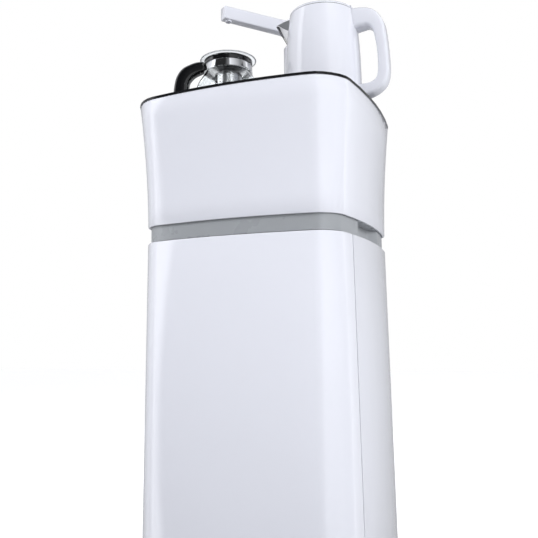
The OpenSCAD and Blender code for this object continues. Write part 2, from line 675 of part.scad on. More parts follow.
// Route of the delivery hose: from the pump's outlet up to the arm's tube in the column
delivery_route = [[pump_x - 10, pump_y - 32, pump_axis_z + 30.2], [pump_x - 10, pump_y - 32, pump_axis_z + 44],
    [pump_x - 10, pump_y - 32, pump_axis_z + 60],
    [pump_x, pump_y - 16, pump_axis_z + 84], [column_x - 30, column_y - 20, pump_axis_z + 96],
    [column_x - 6, column_y - 3, pump_axis_z + 112], [column_x, column_y, frame_z - 38],
    [column_x, column_y, frame_z - 10], [column_x, column_y, worktop_z + 40],
    [column_x, column_y, column_top - 60]];
module delivery_hose() color([0.85, 0.88, 0.92]) swept_tube(delivery_route, hose_r - 0.2);

board_x = 66;
board_y = -20;
module power_board() {
    stand = 8;
    color([0.10, 0.35, 0.18]) translate([board_x - 50, board_y - 38, shelf_top + stand]) cube([100, 76, 1.6]);
    color([0.8, 0.8, 0.8]) for (sx = [-1, 1]) for (sy = [-1, 1])
        translate([board_x + sx * 44, board_y + sy * 32, shelf_top]) cylinder(r = 3, h = stand, $fn = 24);
    color([0.15, 0.15, 0.15]) {
        translate([board_x - 40, board_y - 25, shelf_top + stand + 1.6]) cube([34, 30, 24]);
        translate([board_x + 12, board_y - 28, shelf_top + stand + 1.6]) cube([20, 16, 16]);
        translate([board_x + 12, board_y + 6, shelf_top + stand + 1.6]) cube([26, 14, 10]);
        for (i = [0:2]) translate([board_x - 30 + i * 15, board_y + 20, shelf_top + stand + 1.6])
            cylinder(r = 5, h = 20, $fn = 24);
    }
}

// Route of the wiring loom from the power board to the touch board
loom_route = [[board_x - 46, board_y - 28, shelf_top + 14], [board_x - 52, board_y - 44, shelf_top + 40],
    [4, touch_y + 34, shelf_top + 90], [0, touch_y + 19, shelf_top + 140], [0, touch_y + 19, glass_z - 8]];
module wiring_loom() color([0.12, 0.12, 0.13]) swept_tube(loom_route, 3);

// ---- Door ------------------------------------------------------------------------------

bush_r = hinge_pin_r + 1.6;
door_levels = [[door_z, 1.2], [door_z + 2, 0], [band_z - 2, 0], [band_z, 1.2]];

module hinge_hole(r) {
    translate([hinge_x, hinge_y, 0]) cylinder(r = r, h = worktop_z, $fn = 32);
}

module door_shell() color([0.93, 0.94, 0.96]) {
    wall_loft(front_path, door_levels, skin, closed = false);
    // top and bottom closing plates, with the hinge eyes at the left
    for (z = [door_z, band_z - flange_t]) difference() {
        intersection() {
            translate([0, 0, z]) linear_extrude(flange_t) polygon(front_path(z, 1.3));
            union() {
                translate([-200, -220, z]) cube([400, 220 + liner_y, flange_t]);
                translate([hinge_x - 9, hinge_y - 30, z]) cube([18, 39, flange_t]);
            }
        }
        hinge_hole(bush_r);
    }
}

module door_liner() color([0.88, 0.89, 0.91]) {
    t = 2.5;
    lx = -hinge_x - 14;
    field = (band_z - door_z - 2 * flange_t) / 3;
    depth = 13;
    difference() {
        translate([-lx, liner_y - t, door_z + flange_t]) cube([2 * lx, t, band_z - door_z - 2 * flange_t]);
        for (i = [0:2]) translate([-lx + 22, liner_y - 0.8, door_z + flange_t + 12 + i * field])
            cube([2 * lx - 44, 2, field - 24]);
    }
    for (x = [-lx, lx - t]) translate([x, liner_y - depth, door_z + flange_t])
        cube([t, depth - 1, band_z - door_z - 2 * flange_t]);
    for (i = [0:3]) translate([-lx + 1, liner_y - depth, door_z + flange_t + i * (3 * field - t) / 3])
        cube([2 * lx - 2, depth - 2, t]);
}

module door_bushes() color([0.85, 0.85, 0.8])
    for (z = [door_z, band_z - flange_t]) difference() {
        union() {
            translate([hinge_x, hinge_y, z]) cylinder(r = bush_r, h = flange_t, $fn = 32);
            translate([hinge_x, hinge_y, z == door_z ? z + flange_t : z - 5]) cylinder(r = bush_r + 1.5, h = 5, $fn = 32);
        }
        hinge_hole(hinge_pin_r + run);
    }

catch_x = 108;
module door_striker() color([0.7, 0.7, 0.72])
    translate([catch_x - 16, liner_y, band_z - 26]) cube([32, 1, 14]);

module magnet_catch() color([0.85, 0.86, 0.88])
    translate([catch_x - 18, liner_y + 1.5, band_z - 28]) difference() {
        union() {
            cube([36, 14, 22]);
            translate([0, 2.5, 20]) cube([36, 20, 8]);
        }
        translate([6, -1, 5]) cube([24, 3, 12]);
    }

bracket_t = 1.7;
// Steel plate with a riveted pin; the lower one is let into the base tray
module hinge_bracket(z, pin_from, pin_to) color([0.65, 0.66, 0.68]) {
    intersection() {
        translate([0, 0, z]) linear_extrude(bracket_t) polygon(full_path(band_z, band_inset + 3.3));
        translate([hinge_x - 16, hinge_y - 12, z]) cube([44, 40, bracket_t]);
    }
    translate([hinge_x, hinge_y, pin_from]) cylinder(r = hinge_pin_r, h = pin_to - pin_from, $fn = 32);
}
module hinge_bracket_top() hinge_bracket(shelf_top - bracket_t, band_z - 14, shelf_top - 0.5);
module hinge_bracket_bottom() hinge_bracket(base_h - bracket_t, base_h - 1, door_z + 13);

// ---- Arm -------------------------------------------------------------------------------

arm_len = arm_reach + arm_nose;
function arm_underside(s) = worktop_z + arm_low + (arm_tip_low - arm_low) * max(0, s) / arm_len;
// Half width along the arm: a round root that narrows smoothly to a straight bar
function arm_half(s) = s < 0 ? sqrt(max(0, pow(arm_root_r, 2) - s * s))
    : s < 34 ? arm_w / 2 + (arm_root_r - arm_w / 2) * (0.5 + 0.5 * cos(180 * s / 34)) : arm_w / 2;
// Rounded section at one station: soft lower corners, tight upper ones
function arm_section(s, inset, low_extra) = let (
    w = max(0.4, arm_half(s) - inset), top = worktop_z + arm_top - inset,
    low = arm_underside(s) + inset + low_extra, rl = min(6, w * 0.95), rt = min(1.8, w * 0.95))
    concat(
        [for (t = [0:4]) let (a = 180 + 22.5 * t) [s, -w + rl + rl * cos(a), low + rl + rl * sin(a)]],
        [for (t = [0:4]) let (a = 270 + 22.5 * t) [s, w - rl + rl * cos(a), low + rl + rl * sin(a)]],
        [for (t = [0:3]) let (a = 30 * t) [s, w - rt + rt * cos(a), top - rt + rt * sin(a)]],
        [for (t = [0:3]) let (a = 90 + 30 * t) [s, -w + rt + rt * cos(a), top - rt + rt * sin(a)]]);
arm_stations = concat([for (t = [0:4]) -arm_root_r * cos(22 * t)], [6, 14, 22, 30, 40]);
nose_r = 2.4;
// The nose's edges are rounded over its last few millimetres
module arm_solid(inset) {
    ring_loft(concat([for (s = arm_stations) arm_section(s + (s < 0 ? inset : 0), inset, 0)],
        [for (t = [0:4]) arm_section(arm_len - inset - nose_r * (1 - sin(22.5 * t)),
            inset + nose_r * (1 - cos(22.5 * t)), 0)]));
}

// Moves a piece modelled along +X to the arm's rest position over the teapot
module on_arm() {
    translate([column_x, column_y, 0]) rotate([0, 0, arm_angle]) children();
}

cover_t = 2;
module arm_opening(gap, depth) {
    translate([0, 0, worktop_z + arm_low]) rotate([0, -atan((arm_tip_low - arm_low) / arm_len), 0])
        translate([-9 + gap, -arm_w / 2 + 5 + gap, -5])
            cube([arm_len - 8 - 2 * gap, arm_w - 10 - 2 * gap, 5 + depth]);
}

nozzle_z = worktop_z + arm_tip_low - 3;
nozzle_h = 9;
module arm_shell() color([0.92, 0.93, 0.95]) on_arm() difference() {
    arm_solid(0);
    intersection() {
        arm_solid(arm_wall);
        translate([-arm_root_r, -30, worktop_z + arm_low + 8]) cube([arm_len + 40, 60, 60]);
    }
    arm_opening(0, 12);
    cylinder(r = spigot_r + 4.5 + slip, h = worktop_z + arm_low + 6, $fn = 64);
    translate([arm_reach, 0, nozzle_z - 5]) cylinder(r = nozzle_r, h = 16, $fn = 48);
}

module arm_cover() color([0.90, 0.91, 0.93]) on_arm() difference() {
    intersection() {
        arm_solid(0.2);
        arm_opening(slip, cover_t);
    }
    cylinder(r = spigot_r + 4.5 + 2 * slip, h = 2000, $fn = 64);
    translate([arm_reach, 0, nozzle_z - 5]) cylinder(r = nozzle_r + slip, h = 30, $fn = 48);
}

module arm_spigot() color([0.86, 0.87, 0.89]) translate([column_x, column_y, 0])
    rotate_extrude($fn = 96) polygon([[hose_r + 1.5, column_top - bush_h - 4], [spigot_r, column_top - bush_h - 4],
        [spigot_r, column_top + bush_flange + run], [spigot_r + 4.5, column_top + bush_flange + run],
        [spigot_r + 4.5, worktop_z + arm_low + 6], [hose_r + 1.5, worktop_z + arm_low + 6]]);

tube_z = worktop_z + arm_low + 24;
// Route of the tube inside the arm, from the hose's end in the column to the nozzle
arm_route = [[0, 0, column_top - 50], [0, 0, column_top], [0, 0, tube_z - 8], [3, 0, tube_z - 1], [12, 0, tube_z],
    [arm_reach / 2, 0, tube_z + 1], [arm_reach - 14, 0, tube_z + 1.5], [arm_reach - 4, 0, tube_z],
    [arm_reach, 0, nozzle_z + nozzle_h + 4], [arm_reach, 0, nozzle_z + nozzle_h + 2],
    [arm_reach, 0, nozzle_z + nozzle_h + 0.3]];
module arm_tube() color([0.8, 0.82, 0.85]) on_arm() swept_tube(arm_route, hose_r - 0.2);

module outlet_nozzle() color([0.93, 0.94, 0.96]) on_arm() translate([arm_reach, 0, nozzle_z])
    rotate_extrude($fn = 48) polygon([[3.4, 0], [nozzle_r - 1, 0], [nozzle_r, 1], [nozzle_r, nozzle_h],
        [hose_r - 1.2, nozzle_h], [hose_r - 1.2, nozzle_h - 2], [3.4, nozzle_h - 3]]);

// ---- Kettle ----------------------------------------------------------------------------

foot_step = 5;
shell_low = kettle_seat + foot_step;
seam_z = worktop_z + kettle_seam;
// Outer profile: nearly straight below, drawn in towards the lid
kettle_profile = smooth([[kettle_r - 4, shell_low], [kettle_r - 1.2, shell_low + 4], [kettle_r - 0.5, shell_low + 18],
    [kettle_r, shell_low + 48], [kettle_r - 1, shell_low + 90], [kettle_r - 2.8, shell_low + 120],
    [kettle_r - 4.9, shell_low + 142], [kettle_rim_r, seam_z]], 2);
function kettle_outer(inset) = [for (p = kettle_profile) [p.x - inset, p.y]];

module kettle_envelope() {
    rotate_extrude($fn = 96) polygon(concat([[0, shell_low]], kettle_outer(0), [[0, seam_z]]));
}

hinge_off = kettle_rim_r - 3.1;
lid_hinge_z = seam_z + 2.7;
lid_pin_r = 1.5;
knuckle_half = 12;
spout_low = seam_z - 36;

// Beak with softly bulging sides: it opens upwards from its keel and narrows to the tip;
// lift carries the sides further up at the same slope
beak_half = 22;
beak_rise = 1.6;
keel_run = 6;
module beak(grow, lift) {
    top = seam_z + beak_rise + lift;
    low = spout_low - 8.6 + grow * 2;
    tall = seam_z + beak_rise - low;
    tip = -spout_reach + grow * 3;
    wide = (beak_half - grow) * (1 + lift / tall);
    root = -kettle_r + keel_run + grow;
    ring_loft([for (k = [0, 0.5, 1]) let (
        x_top = (-kettle_rim_r + 12) * (1 - k) + tip * k, x_low = root * (1 - k) + (tip + 0.6) * k,
        w = wide * (1 - k) + 0.7 * (1 + lift / 4) * k + (k == 0.5 ? 1 : 0),
        z_low = low * (1 - k) + (seam_z + grow - 0.4) * k)
        [[x_top, w, top], [(x_top + x_low) / 2, w * 0.62, (top + z_low) / 2 - lift / 2 * (1 - k)], [x_low, 0, z_low],
            [(x_top + x_low) / 2, -w * 0.62, (top + z_low) / 2 - lift / 2 * (1 - k)], [x_top, -w, top]]]);
}

module at_kettle() {
    translate([kettle_x, vessel_y, 0]) children();
}

module kettle_shell() color([0.93, 0.94, 0.96]) at_kettle() {
    difference() {
        revolved_wall(kettle_outer(0), kettle_wall, 2.4);
        translate([0, 0, shell_low - 1]) cylinder(r = kettle_r - 14, h = 4, $fn = 96);
        beak(-0.4, 3);
    }
    // lugs that hold the lid's hinge pin
    for (s = [-1, 1]) difference() {
        union() {
            translate([hinge_off, s * (knuckle_half + 2.2) - 1.8, lid_hinge_z])
                rotate([-90, 0, 0]) cylinder(r = 2.4, h = 3.6, $fn = 32);
            translate([hinge_off - 1, s * (knuckle_half + 2.2) - 1.8, seam_z - 1]) cube([3, 3.6, 3]);
        }
        translate([hinge_off, s * (knuckle_half + 2.2) - 3, lid_hinge_z])
            rotate([-90, 0, 0]) cylinder(r = lid_pin_r, h = 6, $fn = 32);
    }
}

pot_gap = 0.6;
pot_t = 1.2;
pot_low = shell_low + 13;
// Points of the pot's wall above its rounded floor
function pot_wall(inset) = [for (p = kettle_outer(inset)) if (p[1] > pot_low + 8) [p[0], p[1] - 0.4]];
module kettle_pot() color([0.78, 0.79, 0.80]) at_kettle() {
    inset = kettle_wall + pot_gap;
    inner = pot_wall(inset + pot_t);
    r = pot_wall(inset)[0][0];
    difference() {
        rotate_extrude($fn = 96) polygon(concat(
            [[0, pot_low], [r - 7, pot_low], [r - 1, pot_low + 6]], pot_wall(inset),
            [for (i = [len(inner) - 1:-1:0]) inner[i]],
            [[r - 1 - pot_t, pot_low + 6.5], [r - 7.5, pot_low + pot_t], [0, pot_low + pot_t]]));
        beak(pot_t * 0.8, 6);
    }
    // steel pouring beak outside the shell
    difference() {
        beak(0, 0);
        beak(pot_t, 6);
        rotate_extrude($fn = 96) polygon(concat([[0, shell_low]], kettle_outer(inset + 0.1),
            [[kettle_rim_r - inset - 0.1, seam_z], [kettle_rim_r + slip, seam_z],
            [kettle_rim_r + slip, seam_z + 20], [0, seam_z + 20]]));
    }
}

module kettle_foot() color([0.15, 0.15, 0.16]) at_kettle() difference() {
    rotate_extrude($fn = 96) polygon([[coupler_r + 2, kettle_seat], [kettle_r - 6, kettle_seat],
        [kettle_r - 4, kettle_seat + 1.5], [kettle_r - 4, shell_low], [kettle_r - 15, shell_low],
        [kettle_r - 15, shell_low + 5], [coupler_r + 5, shell_low + 11], [coupler_r + 2, shell_low + 11]]);
    for (a = [45:90:315]) rotate([0, 0, a]) translate([kettle_r - 14, 0, kettle_seat - 1]) cylinder(r = 4, h = 2, $fn = 24);
}

button_x = kettle_rim_r + 13;
button_r = 5.5;
button_depth = 9;
button_travel = 2;
handle_top = kettle_seam + 1.8;
button_top = worktop_z + handle_top + 0.4;
// D-shaped grip through [distance out, height above the worktop, depth, width]
handle_stations = [[kettle_rim_r - 6, handle_top - 18, 36, 34], [kettle_rim_r + 3, handle_top - 17.5, 35, 31],
    [kettle_rim_r + 13, handle_top - 17.5, 33, 29],
    [handle_reach - 26, handle_top - 25, 27, handle_w], [handle_reach - 14.5, handle_top - 44, 20.5, handle_w],
    [handle_reach - 10.5, handle_top - 72, 19, handle_w], [handle_reach - 9.2, handle_top - 98, 19.5, handle_w],
    [handle_reach - 9.8, 57, 19.5, handle_w], [handle_reach - 14, 44.5, 20, handle_w],
    [handle_reach - 23, 37, 20.5, handle_w], [handle_reach - 35, 33.5, 23, 28],
    [kettle_r, 31.5, 28, 30], [kettle_r - 8, 31, 30, 32]];
module kettle_handle() color([0.93, 0.94, 0.96]) at_kettle() difference() {
    translate([0, 0, worktop_z]) swept_handle(handle_stations, 0.75);
    kettle_envelope();
    translate([0, 0, seam_z - 1]) cylinder(r = kettle_rim_r + 0.4, h = 20, $fn = 96);
    translate([hinge_off, -30, lid_hinge_z]) rotate([-90, 0, 0]) cylinder(r = 5.8, h = 60, $fn = 48);
    translate([button_x, 0, button_top - button_depth]) cylinder(r = button_r + slip, h = 30, $fn = 48);
}

module lid_button() color([0.80, 0.81, 0.83]) at_kettle()
    translate([button_x, 0, button_top - button_depth + button_travel + slip]) rotate_extrude($fn = 48)
        polygon([[0, 0], [button_r, 0], [button_r, 5.5], [button_r - 1.2, 6.5], [0, 6.9]]);

module lid_pin() color([0.7, 0.7, 0.72]) at_kettle()
    translate([hinge_off, -knuckle_half - 4, lid_hinge_z]) rotate([-90, 0, 0])
        cylinder(r = lid_pin_r, h = 2 * knuckle_half + 8, $fn = 32);

lid_gap = 0.9;
module lid_cap() color([0.94, 0.95, 0.97]) at_kettle() difference() {
    union() {
        difference() {
            union() {
                rotate_extrude($fn = 96) polygon([[0, seam_z + lid_gap], [kettle_rim_r - 0.3, seam_z + lid_gap],
                    [kettle_rim_r - 0.3, seam_z + lid_t - 1.6], [kettle_rim_r - 1.9, seam_z + lid_t], [0, seam_z + lid_t]]);
                // beak-shaped tongue over the spout
                translate([0, 0, seam_z + beak_rise + 0.8]) linear_extrude(lid_t - beak_rise - 0.8)
                    polygon([[-40, 20], [-spout_reach + 12, 3], [-spout_reach + 12, -3], [-40, -20]]);
            }
            translate([hinge_off - 3.6, -80, seam_z]) cube([80, 160, 20]);
        }
        translate([hinge_off, -knuckle_half, lid_hinge_z]) rotate([-90, 0, 0])
            cylinder(r = 2.4, h = 2 * knuckle_half, $fn = 32);
        translate([hinge_off - 5, -knuckle_half, lid_hinge_z - 1.2]) cube([5, 2 * knuckle_half, 3.4]);
    }
    translate([hinge_off, -20, lid_hinge_z]) rotate([-90, 0, 0]) cylinder(r = lid_pin_r + run, h = 40, $fn = 32);
}

plug_r = kettle_rim_r - kettle_wall - pot_gap - pot_t - 3;
module lid_plug() color([0.75, 0.76, 0.78]) at_kettle() difference() {
    translate([0, 0, seam_z - 9]) rotate_extrude($fn = 96)
        polygon([[0, 0], [plug_r - 2, 0], [plug_r, 2], [plug_r, 3], [plug_r - 1, 3], [plug_r - 1, 6], [plug_r, 6],
            [plug_r, 9 + lid_gap], [0, 9 + lid_gap]]);
    translate([0, 0, seam_z - 7.6]) cylinder(r = plug_r - 3, h = 9, $fn = 64);
    translate([hinge_off - 7, -80, seam_z - 20]) cube([80, 160, 40]);
}

module lid_seal() color([0.35, 0.36, 0.38]) at_kettle() difference() {
    translate([0, 0, seam_z - 6]) ring(plug_r + 1.6, plug_r - 1, 3, 96);
    translate([hinge_off - 7, -80, seam_z - 20]) cube([80, 160, 40]);
}

// ---- Teapot ----------------------------------------------------------------------------

pot_floor = worktop_z + plate_lip;
collar_z = worktop_z + collar_top;
lip_h = 5.5;
lip_out = 5.5;
module at_teapot() {
    translate([teapot_x, vessel_y, 0]) children();
}

// Height up the glass as a share of the way from its foot to the collar
function glass_level(k) = pot_floor + (collar_z - collar_h - pot_floor) * k;
belly_profile = smooth([[belly_r - 13, pot_floor], [belly_r - 8, glass_level(0.035)], [belly_r - 2.5, glass_level(0.14)],
    [belly_r, glass_level(0.34)], [belly_r - 2, glass_level(0.55)], [belly_r - 7.5, glass_level(0.75)],
    [neck_r + 3.5, glass_level(0.91)], [neck_r, glass_level(1)]], 2);
glass_profile = concat(belly_profile, [[neck_r, collar_z], [neck_r + lip_out, collar_z + lip_h]]);

module teapot_glass() color([0.85, 0.9, 0.92, 0.4]) at_teapot() revolved_wall(glass_profile, teaglass_t, 3);

module teapot_collar() color([0.8, 0.81, 0.82]) at_teapot() translate([0, 0, collar_z - collar_h])
    rotate_extrude($fn = 96) polygon([[neck_r, 0.4], [neck_r + 2, 0.4], [neck_r + 2.2, 2],
        [neck_r + 1.2, collar_h - 0.5], [neck_r, collar_h - 0.5]]);

pot_handle_angle = 200;
pot_handle_stations = [[neck_r - 2, 113.5, 21, 17], [neck_r + 13, 111.5, 22, 20], [neck_r + 26, 104.5, 24, 22],
    [neck_r + 34, 92.5, 25, 22], [neck_r + 38, 77, 24, 22], [neck_r + 40, 60, 20, 22],
    [neck_r + 38, 43, 17, 20], [neck_r + 32, 29, 13, 16]];
module teapot_handle() color([0.03, 0.03, 0.035]) at_teapot() rotate([0, 0, pot_handle_angle]) difference() {
    translate([0, 0, worktop_z]) swept_handle(pot_handle_stations, 0.6);
    cylinder(r = neck_r + 2.5, h = collar_z, $fn = 96);
    translate([0, 0, collar_z - 0.1]) cylinder(r = neck_r + lip_out + 0.6, h = 60, $fn = 96);
}

rim_ring = 1;
strainer_wall = 0.8;
strainer_low = pot_floor + 14;
module tea_strainer() color([0.75, 0.76, 0.78]) at_teapot() difference() {
    rotate_extrude($fn = 96) polygon([[0, strainer_low], [strainer_r - 2, strainer_low], [strainer_r, strainer_low + 2],
        [strainer_r, collar_z - 20], [neck_r - 3.2, collar_z - 9], [neck_r - 3.2, collar_z + 1.5],
        [neck_r - 1.05, collar_z + 1.5], [neck_r - 1.05, collar_z + 1.5 + rim_ring],
        [neck_r - 3.2 - strainer_wall, collar_z + 1.5 + rim_ring], [neck_r - 3.2 - strainer_wall, collar_z - 8.6],
        [strainer_r - strainer_wall, collar_z - 19.4], [strainer_r - strainer_wall, strainer_low + 2],
        [strainer_r - 2 - strainer_wall, strainer_low + strainer_wall], [0, strainer_low + strainer_wall]]);
    for (a = [0:30:150]) rotate([0, 0, a]) for (k = [0:3])
        translate([-60, -1.2, strainer_low + 12 + k * 14]) cube([120, 2.4, 6]);
}

// Low domed lid with a shallow finger dish
module teapot_lid() color([0.03, 0.03, 0.035]) at_teapot() translate([0, 0, collar_z + 1.5 + rim_ring])
    rotate_extrude($fn = 96) polygon([[0, -4], [14, -4], [14, -2.5], [neck_r - 8, -2.5], [neck_r - 8, -6],
        [neck_r - 5, -6], [neck_r - 4.4, -5], [neck_r - 4.4, 0], [neck_r - 0.5, 0], [neck_r - 0.5, 2.6],
        [neck_r - 1.4, 3.8], [neck_r - 4, 4.9], [neck_r - 9, 5.8], [neck_r - 18, 6.4], [15, 6.6],
        [12, 5.4], [6, 4.4], [0, 4.1]]);

// ---- Drawing ---------------------------------------------------------------------------

base_tray();
feet();
side_panel_left();
side_panel_right();
back_panel();
back_screws();
bottle_platform();
shelf();
waist_band();
upper_shroud();
top_frame();
worktop_glass();
hinge_bracket_top();
hinge_bracket_bottom();
magnet_catch();
probe_clip();
bottle_probe();
suction_hose();
hose_grommet();
pump_motor();
pump_head();
pump_bracket();
delivery_hose();
power_board();
touch_board();
wiring_loom();
cord_gland();
switch_housing();
kettle_base();
kettle_coupler();
warming_plate();
warming_element();
filler_column();
column_nut();
swivel_bush();
power_rocker();
door_shell();
door_liner();
door_bushes();
door_striker();
arm_shell();
arm_cover();
arm_spigot();
arm_tube();
outlet_nozzle();
kettle_shell();
kettle_pot();
kettle_foot();
kettle_handle();
lid_pin();
lid_cap();
lid_plug();
lid_seal();
lid_button();
teapot_glass();
teapot_collar();
teapot_handle();
tea_strainer();
teapot_lid();
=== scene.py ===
import math

import bpy
from mathutils import Matrix, Vector
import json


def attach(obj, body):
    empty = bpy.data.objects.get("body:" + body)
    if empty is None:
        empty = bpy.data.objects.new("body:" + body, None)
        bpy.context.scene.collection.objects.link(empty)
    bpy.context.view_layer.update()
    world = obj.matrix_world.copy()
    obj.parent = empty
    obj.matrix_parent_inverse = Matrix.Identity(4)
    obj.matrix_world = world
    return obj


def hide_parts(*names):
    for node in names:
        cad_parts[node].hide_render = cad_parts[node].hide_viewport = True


# ---- Camera -----------------------------------------------------------------------------

# The floor-standing unit seen from its front right, from about half its height
CAMERA_PLACE = (0.415, -1.042, 0.459)
CAMERA_YAW = math.radians(22.07)
CAMERA_PITCH = math.radians(5.64)
CAMERA_ROLL = math.radians(-0.73)
CAMERA_LENS = 46.4

bpy.ops.object.camera_add(location=CAMERA_PLACE)
camera = bpy.context.object
camera.name = "camera"
camera.rotation_mode = "QUATERNION"
upright = Matrix.Rotation(CAMERA_YAW, 3, "Z") @ Matrix.Rotation(math.radians(90) + CAMERA_PITCH, 3, "X")
camera.rotation_quaternion = (upright @ Matrix.Rotation(CAMERA_ROLL, 3, "Z")).to_quaternion()
camera.data.lens = CAMERA_LENS
camera.data.sensor_width = 36
camera.data.clip_end = 50
bpy.context.scene.camera = camera

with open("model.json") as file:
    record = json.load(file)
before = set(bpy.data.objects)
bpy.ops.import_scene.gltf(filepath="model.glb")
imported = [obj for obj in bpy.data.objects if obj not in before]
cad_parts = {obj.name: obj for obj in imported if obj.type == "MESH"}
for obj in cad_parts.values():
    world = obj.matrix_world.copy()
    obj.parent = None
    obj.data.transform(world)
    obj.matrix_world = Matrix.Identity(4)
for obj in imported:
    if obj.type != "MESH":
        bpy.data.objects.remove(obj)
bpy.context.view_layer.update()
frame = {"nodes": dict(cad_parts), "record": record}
bpy.ops.object.select_all(action="DESELECT")
nodes = frame["nodes"]
scene = bpy.context.scene
scene.view_settings.view_transform = "Standard"

# ---- Materials --------------------------------------------------------------------------


def material(name, colour, roughness=0.4, metallic=0.0, grain=0.0, grain_scale=60.0, **sockets):
    """A finish whose colour and roughness wander a little over the surface."""
    m = bpy.data.materials.new(name)
    m.use_nodes = True
    tree = m.node_tree
    shader = tree.nodes["Principled BSDF"]
    shader.inputs["Metallic"].default_value = metallic
    for key, value in sockets.items():
        shader.inputs[key.replace("_", " ")].default_value = value
    place = tree.nodes.new("ShaderNodeTexCoord")
    noise = tree.nodes.new("ShaderNodeTexNoise")
    noise.inputs["Scale"].default_value = grain_scale
    noise.inputs["Detail"].default_value = 3
    tree.links.new(place.outputs["Object"], noise.inputs["Vector"])
    tint = tree.nodes.new("ShaderNodeMapRange")
    tint.inputs["To Min"].default_value = 1 - grain
    tint.inputs["To Max"].default_value = 1 + grain
    tree.links.new(noise.outputs["Fac"], tint.inputs["Value"])
    shade = tree.nodes.new("ShaderNodeVectorMath")
    shade.operation = "SCALE"
    shade.inputs[0].default_value = colour[:3]
    tree.links.new(tint.outputs["Result"], shade.inputs["Scale"])
    tree.links.new(shade.outputs["Vector"], shader.inputs["Base Color"])
    rough = tree.nodes.new("ShaderNodeMapRange")
    rough.inputs["To Min"].default_value = roughness * 0.9
    rough.inputs["To Max"].default_value = roughness * 1.1
    tree.links.new(noise.outputs["Fac"], rough.inputs["Value"])
    tree.links.new(rough.outputs["Result"], shader.inputs["Roughness"])
    return m


finish = {
    "gloss_white": material(
        "gloss_white", (0.80, 0.81, 0.87), 0.12, grain=0.01, grain_scale=8,
        Coat_Weight=0.6, Coat_Roughness=0.05),
    "black_glass": material("black_glass", (0.012, 0.012, 0.013), 0.08, grain=0.02, Specular_IOR_Level=0.25),
    "waist_grey": material("waist_grey", (0.34, 0.355, 0.37), 0.28, grain=0.015, grain_scale=30),
    "dark_grey": material("dark_grey", (0.05, 0.052, 0.056), 0.5, grain=0.06, grain_scale=300),
    "rubber": material("rubber", (0.02, 0.02, 0.022), 0.7, grain=0.08, grain_scale=200),
    "galvanised": material("galvanised", (0.5, 0.51, 0.52), 0.42, 0.8, grain=0.1, grain_scale=40),
    "powder_coat": material("powder_coat", (0.62, 0.63, 0.65), 0.45, grain=0.03, grain_scale=500),
    "inner_plastic": material("inner_plastic", (0.55, 0.56, 0.59), 0.38, grain=0.02, grain_scale=90),
    "screw_steel": material("screw_steel", (0.6, 0.6, 0.61), 0.3, 1.0, grain=0.04, grain_scale=400),
    "hose": material("hose", (0.65, 0.70, 0.74), 0.3, grain=0.02, Transmission_Weight=0.35),
    "steel": material("steel", (0.60, 0.60, 0.61), 0.22, 1.0, grain=0.03, grain_scale=200),
    "polished": material("polished", (0.75, 0.76, 0.77), 0.06, 1.0, grain=0.01),
    "black_gloss": material("black_gloss", (0.006, 0.006, 0.007), 0.1, grain=0.02, Coat_Weight=0.3),
    "black_matte": material("black_matte", (0.018, 0.018, 0.02), 0.5, grain=0.05, grain_scale=150),
    "clear_glass": material(
        "clear_glass", (0.96, 0.98, 0.98), 0.01, grain=0.0, Transmission_Weight=1.0, IOR=1.47),
    "board": material("board", (0.015, 0.10, 0.045), 0.4, grain=0.1, grain_scale=400),
    "element": material("element", (0.42, 0.41, 0.39), 0.5, 0.9, grain=0.08, grain_scale=150),
    "red": material("red", (0.45, 0.02, 0.012), 0.2, grain=0.02),
    "acetal": material("acetal", (0.75, 0.74, 0.68), 0.35, grain=0.02),
    # dark_steel also colours the plates and the bar that paint the spout's dark reflection and its dark edge
    # line
    "dark_steel": material("dark_steel", (0.13, 0.135, 0.14), 0.25, 1.0, grain=0.08),
    "seal": material("seal", (0.30, 0.31, 0.32), 0.5, grain=0.03),
}
ground_rim = material("ground_rim", (0.93, 0.95, 0.96), 0.35, grain=0.02, Transmission_Weight=0.4)
for part in frame["record"]["subparts"]:
    node = nodes[part["node"]]
    for place in node.material_slots:
        place.material = finish[part["material_slot"]]
    if not node.material_slots:
        node.data.materials.append(finish[part["material_slot"]])


WELD_GAP = 0.00001
ROUND_EDGE = 40


def soften(node):
    """Shades a CAD node's round faces smooth and keeps its true edges."""
    for face in node.data.polygons:
        face.use_smooth = True
    weld = node.modifiers.new("weld", "WELD")
    weld.merge_threshold = WELD_GAP
    split = node.modifiers.new("split", "EDGE_SPLIT")
    split.split_angle = math.radians(ROUND_EDGE)
    split.use_edge_sharp = False


for node in nodes.values():
    soften(node)

# ---- Making pieces: sizes in millimetres, heights from the worktop ------------------------

MM = 0.001
WORKTOP = 820
ROUND_STEPS = 96
SWEPT_EDGE = 35


def pick(piece):
    bpy.ops.object.select_all(action="DESELECT")
    piece.select_set(True)
    bpy.context.view_layer.objects.active = piece


def open_in_edit():
    bpy.ops.object.mode_set(mode="EDIT")
    bpy.ops.mesh.select_all(action="SELECT")


def finished(piece, name, body, slot, instead=(), angle=ROUND_EDGE):
    """Names a piece, closes its surface, gives it its finish and sets it on its body."""
    pick(piece)
    open_in_edit()
    bpy.ops.mesh.remove_doubles(threshold=WELD_GAP)
    bpy.ops.mesh.normals_make_consistent(inside=False)
    bpy.ops.object.mode_set(mode="OBJECT")
    piece.name = name
    bpy.ops.object.shade_smooth()
    split = piece.modifiers.new("split", "EDGE_SPLIT")
    split.split_angle = math.radians(angle)
    piece.data.materials.clear()
    piece.data.materials.append(finish[slot])
    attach(piece, body)
    if instead:
        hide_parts(*instead)
    return piece


